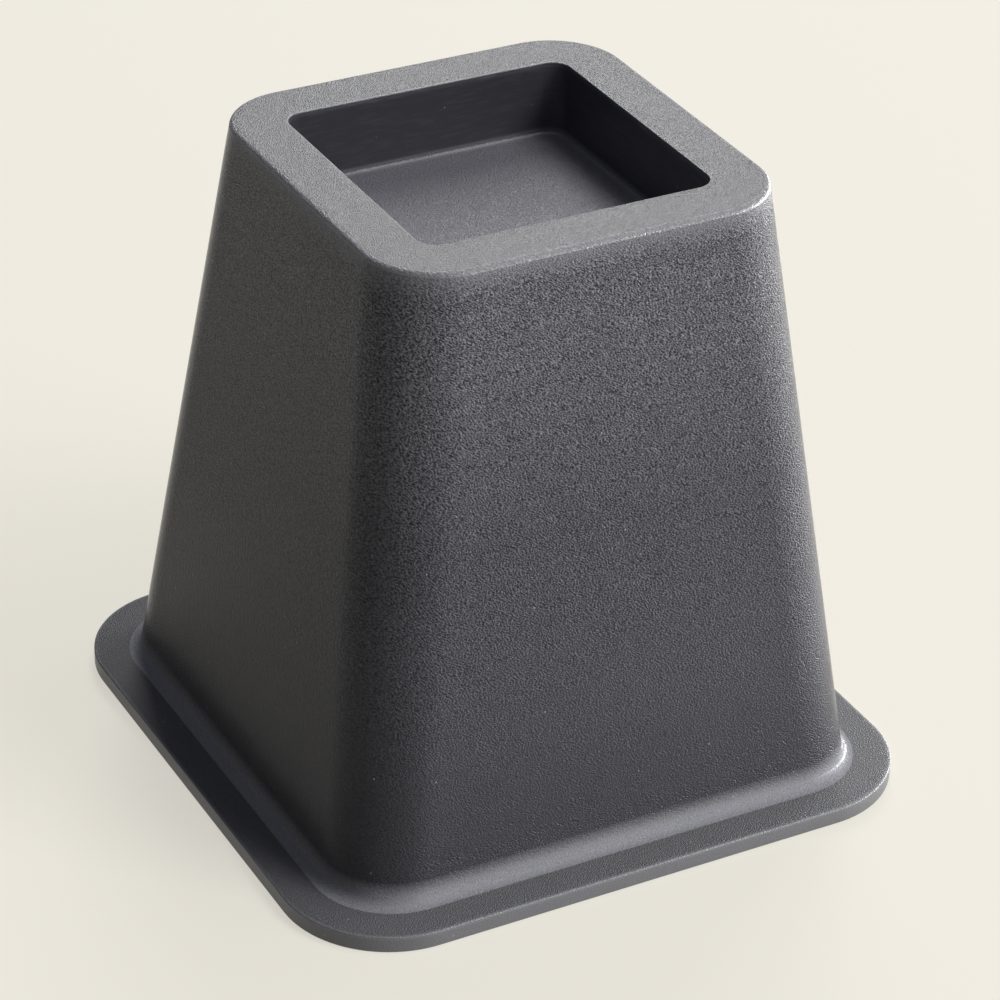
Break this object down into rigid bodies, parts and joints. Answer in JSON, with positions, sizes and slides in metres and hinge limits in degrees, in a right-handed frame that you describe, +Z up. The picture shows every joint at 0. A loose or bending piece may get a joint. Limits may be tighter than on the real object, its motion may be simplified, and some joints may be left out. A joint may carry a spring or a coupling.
{
  "type": "bed riser",
  "caption": "Square tapered plastic riser with a flanged foot and a square recess on top that takes a bed or furniture leg and lifts it off the floor.",
  "frame": {"origin": "middle of the underside, on the floor", "axes": "+Z up through the middle of the recess; X and Y along the sides of the square"},
  "size_m": [0.164, 0.164, 0.158],
  "materials": {
    "charcoal_plastic": "charcoal polypropylene, moulded grain outside and satin inside the recess"
  },
  "bodies": {
    "root": {"riser": "charcoal_plastic"}
  },
  "joints": []
}
